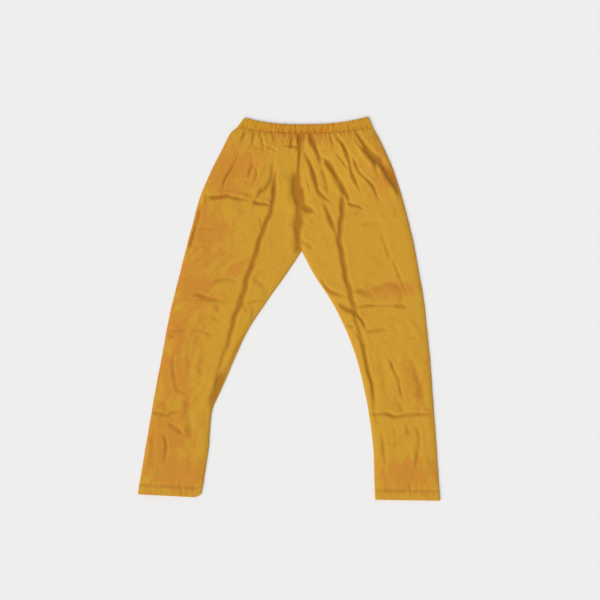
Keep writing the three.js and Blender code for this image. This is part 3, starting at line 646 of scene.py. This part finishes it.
def closed_shell(name, outside, inside, grain, shade):
    """A wall of cloth between two grids of points, as one closed mesh object."""
    rows, cols, _ = outside.shape
    points = np.concatenate([outside.reshape(-1, 3), inside.reshape(-1, 3)])
    o = np.arange(rows * cols).reshape(rows, cols)
    i = o + rows * cols

    def quads(a, b, c, d):
        return np.stack([v.ravel() for v in (a, b, c, d)], axis=1)

    faces = np.concatenate([
        quads(o[:-1, :-1], o[1:, :-1], o[1:, 1:], o[:-1, 1:]),
        quads(i[:-1, :-1], i[:-1, 1:], i[1:, 1:], i[1:, :-1]),
        quads(o[0, :-1], o[0, 1:], i[0, 1:], i[0, :-1]),
        quads(o[-1, :-1], i[-1, :-1], i[-1, 1:], o[-1, 1:]),
        quads(o[:-1, 0], i[:-1, 0], i[1:, 0], o[1:, 0]),
        quads(o[:-1, -1], o[1:, -1], i[1:, -1], i[:-1, -1]),
    ])
    a, b, c = (points[faces[:, k]] for k in (0, 1, 2))
    if np.einsum("ij,ij->", a, np.cross(b, c)) < 0:  # the mirrored side comes out inside out
        faces = faces[:, ::-1]
    mesh = bpy.data.meshes.new(name)
    mesh.from_pydata((points * MM).tolist(), [], faces.tolist())
    mesh.polygons.foreach_set("use_smooth", np.ones(len(faces), bool))
    along_cloth = mesh.attributes.new("grain", "FLOAT_VECTOR", "POINT")
    along_cloth.data.foreach_set("vector", np.concatenate([grain, grain]).ravel())
    # painted shade of the folds, seams and stitch grooves, kept with each point
    painted_fold_shade = mesh.attributes.new("painted_fold_shade", "FLOAT", "POINT")
    painted_fold_shade.data.foreach_set("value", np.concatenate([shade, shade]).ravel())
    # painted shade where the light falls off, with a few other deeper patches
    deeper = mesh.attributes.new("deeper", "FLOAT", "POINT")
    deeper.data.foreach_set("value", falloff_shade(points[:, 0], points[:, 1]))
    mesh.update()
    piece = bpy.data.objects.new(name, mesh)
    bpy.context.scene.collection.objects.link(piece)
    return piece


def dye(code):
    """A colour code such as "cc9933" as Blender's linear colour."""
    parts = [int(code[k:k + 2], 16) / 255 for k in (0, 2, 4)]
    return [p / 12.92 if p <= 0.04045 else ((p + 0.055) / 1.055) ** 2.4 for p in parts] + [1]


def new_group(name, inputs, outputs):
    """An empty shader node group with its sockets, which are (name, kind, default)."""
    group = bpy.data.node_groups.new(name, "ShaderNodeTree")
    for label, kind, default in inputs:
        socket = group.interface.new_socket(label, in_out="INPUT", socket_type=kind)
        if default is not None:
            socket.default_value = default
    for label, kind in outputs:
        group.interface.new_socket(label, in_out="OUTPUT", socket_type=kind)
    return group, group.nodes.new("NodeGroupInput"), group.nodes.new("NodeGroupOutput")


def add_node(tree, kind, inputs=(), **settings):
    """A node with its settings, and its inputs given as values or as other nodes' outputs."""
    node = tree.nodes.new(kind)
    for key, value in settings.items():
        setattr(node, key, value)
    for key, value in dict(inputs).items():
        if isinstance(value, bpy.types.NodeSocket):
            tree.links.new(value, node.inputs[key])
        else:
            node.inputs[key].default_value = value
    return node


def math(tree, operation, *values):
    return add_node(tree, "ShaderNodeMath", enumerate(values), operation=operation).outputs[0]


# Jersey is knitted in wales, columns of small V-shaped stitches. Place is in millimetres.
WALE = 0.9
knit, knit_in, knit_out = new_group(
    "jersey knit",
    [("Place", "NodeSocketVector", None), ("Wale", "NodeSocketFloat", WALE)],
    [("Height", "NodeSocketFloat"), ("Fleck", "NodeSocketFloat")])
split = add_node(knit, "ShaderNodeSeparateXYZ", {0: knit_in.outputs["Place"]})
wale = math(knit, "DIVIDE", split.outputs["X"], knit_in.outputs["Wale"])
course = math(knit, "DIVIDE", split.outputs["Y"], knit_in.outputs["Wale"])
leg_of_v = math(knit, "PINGPONG", wale, 0.5)
slanted = math(knit, "ADD", math(knit, "MULTIPLY", course, 1.25), leg_of_v)
loop = math(knit, "SINE", math(knit, "MULTIPLY", slanted, 2 * np.pi))
loop = math(knit, "MULTIPLY_ADD", loop, 0.2, 0.3)
knit.links.new(math(knit, "ADD", loop, leg_of_v), knit_out.inputs["Height"])
fleck = add_node(knit, "ShaderNodeTexNoise", {
    "Vector": knit_in.outputs["Place"], "Scale": 0.55, "Detail": 2.0, "Roughness": 0.7})
knit.links.new(fleck.outputs["Fac"], knit_out.inputs["Fleck"])

# Dyed cotton is a little uneven in tone, in soft patches drawn out along the leg.
uneven, uneven_in, uneven_out = new_group(
    "uneven dye",
    [("Place", "NodeSocketVector", None), ("Patch", "NodeSocketFloat", 60.0)],
    [("Tone", "NodeSocketFloat"), ("Slack", "NodeSocketFloat")])
drawn = add_node(uneven, "ShaderNodeVectorMath", {
    0: uneven_in.outputs["Place"], 1: (1.0, 0.55, 1.0)}, operation="MULTIPLY")
size = math(uneven, "DIVIDE", 1.0, uneven_in.outputs["Patch"])
patch = add_node(uneven, "ShaderNodeTexNoise", {
    "Vector": drawn.outputs[0], "Scale": size, "Detail": 5.0, "Roughness": 0.62,
    "Distortion": 0.4})
tone = add_node(uneven, "ShaderNodeMapRange", {
    "Value": patch.outputs["Fac"], "From Min": 0.38, "From Max": 0.66})
uneven.links.new(tone.outputs[0], uneven_out.inputs["Tone"])
slack = add_node(uneven, "ShaderNodeTexNoise", {
    "Vector": uneven_in.outputs["Place"], "Scale": 0.085, "Detail": 3.0, "Roughness": 0.5,
    "Distortion": 0.6})
uneven.links.new(slack.outputs["Fac"], uneven_out.inputs["Slack"])


FIRST_COLOUR, SECOND_COLOUR, MIXED_COLOUR = 6, 7, 2  # a mix node's sockets for colours


def mix(tree, factor, first, second):
    return add_node(tree, "ShaderNodeMix", {
        "Factor": factor, FIRST_COLOUR: first, SECOND_COLOUR: second},
        data_type="RGBA").outputs[MIXED_COLOUR]


KNIT_DEPTH = 0.12
FLECK_RANGE = {"From Min": 0.3, "From Max": 0.7}


def jersey_material(name, base, patch_and_falloff_colour, fold_shade_colour, patch_size, fold_shade_strength, slack_depth):
    """Matte cotton jersey: uneven dye, with painted shade in the folds and painted shade where the
    light falls off, over a knitted surface.
    """
    material = bpy.data.materials.new(name)
    material.use_nodes = True
    tree = material.node_tree
    tree.nodes.clear()
    place = add_node(tree, "ShaderNodeAttribute", attribute_name="grain").outputs["Vector"]
    painted_fold_shade = add_node(tree, "ShaderNodeAttribute", attribute_name="painted_fold_shade").outputs["Fac"]
    deeper = add_node(tree, "ShaderNodeAttribute", attribute_name="deeper").outputs["Fac"]
    stitches = add_node(tree, "ShaderNodeGroup", {"Place": place, "Wale": WALE}, node_tree=knit)
    dyed = add_node(tree, "ShaderNodeGroup", {"Place": place, "Patch": patch_size},
                    node_tree=uneven)
    # the random unevenness of the dye plus the painted shade where the light falls off
    tone_and_falloff_shade = math(tree, "MULTIPLY_ADD", dyed.outputs["Tone"], 0.8, deeper)
    tone = add_node(tree, "ShaderNodeMapRange", {
        "Value": tone_and_falloff_shade, "From Min": 0.5, "From Max": 1.05}).outputs[0]
    colour = mix(tree, tone, dye(base), dye(patch_and_falloff_colour))
    fleck = add_node(tree, "ShaderNodeMapRange", {
        "Value": stitches.outputs["Fleck"], **FLECK_RANGE, "To Min": 0.9, "To Max": 1.07})
    flecked = add_node(tree, "ShaderNodeHueSaturation", {
        "Value": fleck.outputs[0], "Color": colour})
    # painted shade: the colour is darkened towards the shade colour where the points lie in folds,
    # seams and stitch grooves
    depth = math(tree, "MULTIPLY", painted_fold_shade, fold_shade_strength)
    colour = mix(tree, depth, flecked.outputs["Color"], dye(fold_shade_colour))
    loose = add_node(tree, "ShaderNodeBump", {
        "Strength": 1.0, "Distance": slack_depth * MM, "Height": dyed.outputs["Slack"]})
    knitted = add_node(tree, "ShaderNodeBump", {
        "Strength": 0.6, "Distance": KNIT_DEPTH * MM, "Height": stitches.outputs["Height"],
        "Normal": loose.outputs["Normal"]})
    rough = add_node(tree, "ShaderNodeMapRange", {
        "Value": stitches.outputs["Fleck"], **FLECK_RANGE, "To Min": 0.82, "To Max": 0.93})
    shader = add_node(tree, "ShaderNodeBsdfPrincipled", {
        "Base Color": colour, "Roughness": rough.outputs[0], "Normal": knitted.outputs["Normal"],
        "Specular IOR Level": 0.12, "Sheen Weight": 0.04, "Sheen Roughness": 0.5})
    output = add_node(tree, "ShaderNodeOutputMaterial")
    tree.links.new(shader.outputs[0], output.inputs["Surface"])
    return material


# the last colour is the painted shade of the folds
jersey = jersey_material("mustard jersey", "cf9b30", "cd8a30", "955513",
                         patch_size=20, fold_shade_strength=0.6, slack_depth=1.2)

sections = {}
for side in ("right", "left"):
    sections[side] = leg_sections(side)
    leg = closed_shell(f"jersey_leg_{side}", *sections[side])
    leg.data.materials.append(jersey)
    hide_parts(f"leg_{side}")
    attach(leg, "root")

# ------------------------------------------------------------------------------------- waistband
# The waist is a casing of the same jersey, turned over soft 22 mm elastic and stitched down. The
# elastic draws it up into fine puckers, front and back. The front and back seams cross it, so it
# has two halves.

BAND_WALL = 3.0  # two layers of jersey with the elastic between them
BAND_HEIGHT = 24
BAND_SEAM_X = 32
BAND_TOP = {"right": (-109.8, 467.3), "left": (193.9, 469.8)}
BAND_TOP_MIDDLE = 451.4
BAND_OVERLAP = 1.6  # the casing's lower fold lies this far over the leg
BAND_EDGE = BAND_WALL / 2  # its folds are half rounds
BAND_EDGE_TURNS = np.radians([18, 36, 54, 72])
BAND_ROWS = 22  # between the two folds
BAND_SIDE_TURNS = np.radians([67.5, 45, 22.5, 0, -22.5, -45, -67.5])
BAND_SEAM_ROLL = {"front": 1.1, "back": 0.8}
BAND_ROLL_REACH = 2.6
PUCKERS = 26  # across the front of each half
PUCKER_LIFT = 0.95
PUCKERS_FADE = 0.03  # they die out over this share of the width, at the side
BACK_PUCKERS_SHIFT = 0.013
BACK_PUCKERS_LIFT = 0.8  # the table holds the back's puckers down
CASING_COLUMNS = {"front": 240, "back": 120}
CASING_ROW = 3.2  # the stitching is this far above the casing's lower fold
CASING_GROOVE = 0.9  # how deep it pulls the cloth in
CASING_GROOVE_WIDTH = 1.6
CASING_TIP = 0.2  # thickness left at the very tip of its folds
STRETCHED_OUT = 1.35  # the gathered cloth is this much longer than the casing


def puckers(side, s, up):
    """Height of the ripples in the gathered casing, at share s of its width and up of its height."""
    turn = 2 * np.pi * PUCKERS * s
    wander = 1.9 * np.sin(0.31 * turn + WAY[side]) + 0.9 * np.sin(0.73 * turn + 2)
    drift = 0.5 * np.sin(3.1 * up + 0.6 * turn / np.pi)
    big = np.cos(turn + wander + drift)
    small = np.cos(2.3 * turn + 1.7 * wander - drift + 1)
    uneven = 0.62 + 0.38 * np.sin(0.41 * turn + 1)
    held = 0.7 + 0.3 * np.cos(2 * np.pi * up)  # held a little flatter over the middle of the elastic
    return PUCKER_LIFT * held * uneven * (0.62 * big + 0.38 * small)


def band_rows():
    """Heights of the rows of points of the casing, and how full its wall is at each."""
    rising = BAND_EDGE * (1 - np.cos(BAND_EDGE_TURNS))
    filling = np.sin(BAND_EDGE_TURNS)
    height = np.concatenate([
        [-BAND_OVERLAP], -BAND_OVERLAP + rising,
        np.linspace(-BAND_OVERLAP + BAND_EDGE, BAND_HEIGHT - BAND_EDGE, BAND_ROWS),
        BAND_HEIGHT - rising[::-1], [BAND_HEIGHT]])
    full = np.concatenate([[0], filling, np.ones(BAND_ROWS), filling[::-1], [0]])
    return height, full


def band_sections(side):
    """Outside and inside points of a band half, from the front seam round the side to the back."""
    way = WAY[side]
    waist = levels_of(side, np.array([float(WAIST)]))
    outer, sag = waist["outer"][0], waist["sag"][0]
    seam = BAND_SEAM_X + way * SEAM_GAP / 2
    height, full = (values[:, None] for values in band_rows())
    up = clamp01(height / BAND_HEIGHT)
    side_x = lerp(outer, BAND_TOP[side][0], height / BAND_HEIGHT)
    hollow = LAYER_GAP / 2
    half = BAND_WALL + hollow
    ones = np.ones_like(height)

    def spot(s):
        x = lerp(seam, side_x - way * half, s)
        low = lerp(WAIST - sag, WAIST, s ** SAG_SHAPE) + SEAM_GAP
        high = lerp(BAND_TOP_MIDDLE, BAND_TOP[side][1], s ** SAG_SHAPE)
        return x * ones, lerp(low, high, height / BAND_HEIGHT)

    columns = []
    stitched = CASING_GROOVE * np.exp(-(((height - CASING_ROW) / CASING_GROOVE_WIDTH) ** 2))
    inside = BAND_WALL + LAYER_GAP
    for s in np.linspace(0, 1, CASING_COLUMNS["front"]):
        x, y = spot(s)
        away = s * np.abs(side_x - seam)
        roll = BAND_SEAM_ROLL["front"] * np.exp(-((away / BAND_ROLL_REACH) ** 2))
        ripple = puckers(side, s, up) * smoothstep(1 - s, 0, PUCKERS_FADE)
        z = inside + BAND_WALL * (0.55 + 0.45 * full) + (ripple - stitched) * full - roll * full
        z = inside + CASING_TIP + (z - inside - CASING_TIP) * full
        shade = clamp01(0.15 - 1.4 * ripple) * 0.9  # painted shade between the puckers
        columns.append((x, y, z, x, inside * ones, shade, away))
    x, y = spot(1)
    for angle in BAND_SIDE_TURNS:
        c, n = np.cos(angle), np.sin(angle)
        r = half * (0.6 + 0.4 * full)
        columns.append((x + way * r * c, y, half + r * n,
                        x + way * hollow * c, half + hollow * n,
                        0 * ones, ones * np.abs(side_x - seam)))
    inside = BAND_WALL
    for s in np.linspace(1, 0, CASING_COLUMNS["back"]):
        x, y = spot(s)
        away = s * np.abs(side_x - seam)
        roll = BAND_SEAM_ROLL["back"] * np.exp(-((away / BAND_ROLL_REACH) ** 2))
        ripple = np.maximum(puckers(side, s + BACK_PUCKERS_SHIFT, up) + 0.1, 0) * smoothstep(
            1 - s, 0, PUCKERS_FADE)
        z = (inside - CASING_TIP - (inside - CASING_TIP) * full
             + (ripple + stitched + roll) * full * BACK_PUCKERS_LIFT)
        columns.append((x, y, z, x, inside * ones, 0 * ones, away))
    x_out, y_out, z_out, x_in, z_in, shade, across = (
        np.hstack([c[k] * ones for c in columns]) for k in range(7))
    grain = np.dstack([across * STRETCHED_OUT, y_out, np.zeros_like(across)])
    return (np.dstack([x_out, y_out, z_out]), np.dstack([x_in, y_out, z_in]), grain, shade)


# its last colour is the painted shade between the puckers
casing = jersey_material("gathered jersey", "d39a2a", "c97d24", "8c5814",
                         patch_size=9, fold_shade_strength=0.7, slack_depth=0.5)
bands_laid = {}
for side in ("right", "left"):
    bands_laid[side] = band_sections(side)
    band = closed_shell(f"casing_{side}", *bands_laid[side])
    band.data.materials.append(casing)
    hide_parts(f"waistband_{side}")
    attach(band, "root")

# -------------------------------------------------------------------------------------- stitching
# Thread of the same mustard. Two rows of stitches hold each hem, and one row holds the casing
# down, all round the garment.

THREAD = 0.3  # radius
THREAD_SIDES = 6
STITCH = 2.9
STITCH_GAP = 0.7
STITCH_ARCH = 0.35
STITCH_PROUD = 0.1  # the ends of a stitch of the front lie this far out of the cloth
STITCH_RAISED = 0.35  # rows of the back are drawn up into the cloth, clear of the table
STITCH_RINGS = np.array([0, 0.12, 0.35, 0.65, 0.88, 1.0])  # places along a stitch
STITCH_FULLNESS = np.array([0.2, 0.8, 1, 1, 0.8, 0.2])  # and how thick it is at each
SIDE_CLEAR = 5  # columns at each side of the casing that stay free of stitches


def stitch_row(line, push):
    """Threads along a line of points: short arched capsules, pushed out of the cloth by `push`."""
    steps = np.linalg.norm(np.diff(line, axis=0), axis=1)
    run = np.concatenate([[0], np.cumsum(steps)])
    starts = np.arange(STITCH_GAP, run[-1] - STITCH, STITCH + STITCH_GAP)
    arch = STITCH_ARCH * np.sin(np.pi * STITCH_RINGS)
    around = np.radians(np.arange(THREAD_SIDES) * 360 / THREAD_SIDES)
    points, faces = [], []
    for start in starts:
        at = start + STITCH * STITCH_RINGS
        centre = np.stack([np.interp(at, run, line[:, k]) for k in range(3)], axis=1)
        centre += push * (STITCH_PROUD + arch)[:, None]
        way = centre[-1] - centre[0]
        way /= np.linalg.norm(way)
        up = np.cross(way, [0, 0, 1.0])
        up = up / (np.linalg.norm(up) or 1)
        other = np.cross(up, way)
        first = THREAD_SIDES * len(points)
        for c, r in zip(centre, THREAD * STITCH_FULLNESS):
            points.append(c + r * (np.cos(around)[:, None] * up + np.sin(around)[:, None] * other))
        for ring in range(len(STITCH_RINGS) - 1):
            ring_first = first + THREAD_SIDES * ring
            for k in range(THREAD_SIDES):
                a, b = ring_first + k, ring_first + (k + 1) % THREAD_SIDES
                faces.append((a, b, b + THREAD_SIDES, a + THREAD_SIDES))
        last = first + THREAD_SIDES * (len(STITCH_RINGS) - 1)
        faces.append(tuple(first + k for k in reversed(range(THREAD_SIDES))))
        faces.append(tuple(last + k for k in range(THREAD_SIDES)))
    return np.concatenate(points), faces


def thread_piece(name, rows):
    """All the rows of stitching of one piece, as one mesh object."""
    points, faces = [], []
    for row_points, row_faces in rows:
        first = sum(len(p) for p in points)
        points.append(row_points)
        faces += [tuple(first + k for k in face) for face in row_faces]
    mesh = bpy.data.meshes.new(name)
    mesh.from_pydata((np.concatenate(points) * MM).tolist(), [], faces)
    mesh.polygons.foreach_set("use_smooth", np.ones(len(faces), bool))
    piece = bpy.data.objects.new(name, mesh)
    bpy.context.scene.collection.objects.link(piece)
    return piece


thread = bpy.data.materials.new("mustard thread")
thread.use_nodes = True
tree = thread.node_tree
shader = tree.nodes["Principled BSDF"]
place = add_node(tree, "ShaderNodeTexCoord").outputs["Object"]
twist = add_node(tree, "ShaderNodeTexNoise", {"Vector": place, "Scale": 900.0, "Detail": 1.0})
tint = mix(tree, twist.outputs["Fac"], dye("b98225"), dye("d6a544"))
tree.links.new(tint, shader.inputs["Base Color"])
shader.inputs["Roughness"].default_value = 0.6
shader.inputs["Sheen Weight"].default_value = 0.1

UP = np.array([0, 0, 1.0])
NO_PUSH = np.zeros(3)
front_from = len(SEAM_TURNS)
back_from = front_from + FRONT_COLUMNS + len(SIDE_TURNS)
leg_front = slice(front_from, front_from + FRONT_COLUMNS)
leg_back = slice(back_from, back_from + BACK_COLUMNS)
band_front = slice(0, CASING_COLUMNS["front"] - SIDE_CLEAR)
band_back = slice(CASING_COLUMNS["front"] + len(BAND_SIDE_TURNS) + SIDE_CLEAR, None)
casing_row = int(np.argmin(np.abs(band_rows()[0] - CASING_ROW)))
for side in ("right", "left"):
    outside, _, _, _ = sections[side]
    rows = []
    for y in HEM_ROWS:
        row = int(np.argmin(np.abs(leg_rows() - y)))
        rows.append(stitch_row(outside[row, leg_front], UP))
        rows.append(stitch_row(outside[row, leg_back] + STITCH_RAISED * UP, NO_PUSH))
    hem_stitches = thread_piece(f"hem_stitching_{side}", rows)
    outside, _, _, _ = bands_laid[side]
    casing_stitches = thread_piece(f"casing_stitching_{side}", [
        stitch_row(outside[casing_row, band_front], UP),
        stitch_row(outside[casing_row, band_back] + STITCH_RAISED * UP, NO_PUSH)])
    for piece, slot in ((hem_stitches, "jersey"), (casing_stitches, "casing")):
        piece.data.materials.append(thread)
        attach(piece, "root")

# ---------------------------------------------------------------------- table, light and camera
# A plain pale table, one large soft lamp high above the right leg, a little towards the hems, and
# even light from all round.

TABLE_SIZE = 8  # metres
TABLE_BELOW = 0.4  # the table's top is this far below the garment

bpy.ops.mesh.primitive_plane_add(size=TABLE_SIZE, location=(0, 0, -TABLE_BELOW * MM))
table = bpy.context.object
table.name = "table"
paint = bpy.data.materials.new("pale table")
paint.use_nodes = True
finish = paint.node_tree.nodes["Principled BSDF"].inputs
finish["Base Color"].default_value = (0.87, 0.87, 0.87, 1)
finish["Roughness"].default_value = 0.9
finish["Specular IOR Level"].default_value = 0.1
table.data.materials.append(paint)

lamp_data = bpy.data.lights.new("soft lamp", "SUN")
lamp_data.angle = 1.1
lamp_data.energy = 2.2
lamp = bpy.data.objects.new("soft lamp", lamp_data)
lamp.rotation_euler = Vector((-0.55, -0.35, 0.85)).to_track_quat("Z", "Y").to_euler()
bpy.context.scene.collection.objects.link(lamp)

world = bpy.data.worlds.new("even light")
world.use_nodes = True
world.node_tree.nodes["Background"].inputs["Color"].default_value = (1, 1, 1, 1)
world.node_tree.nodes["Background"].inputs["Strength"].default_value = 0.43
bpy.context.scene.world = world
bpy.context.scene.view_settings.view_transform = "Standard"

camera_data = bpy.data.cameras.new("camera")
camera_data.lens = 85
camera_data.sensor_width = 36
camera = bpy.data.objects.new("camera", camera_data)
camera.location = (0.027, 0.0214, 3.471)  # straight above, looking down
bpy.context.scene.collection.objects.link(camera)
bpy.context.scene.camera = camera
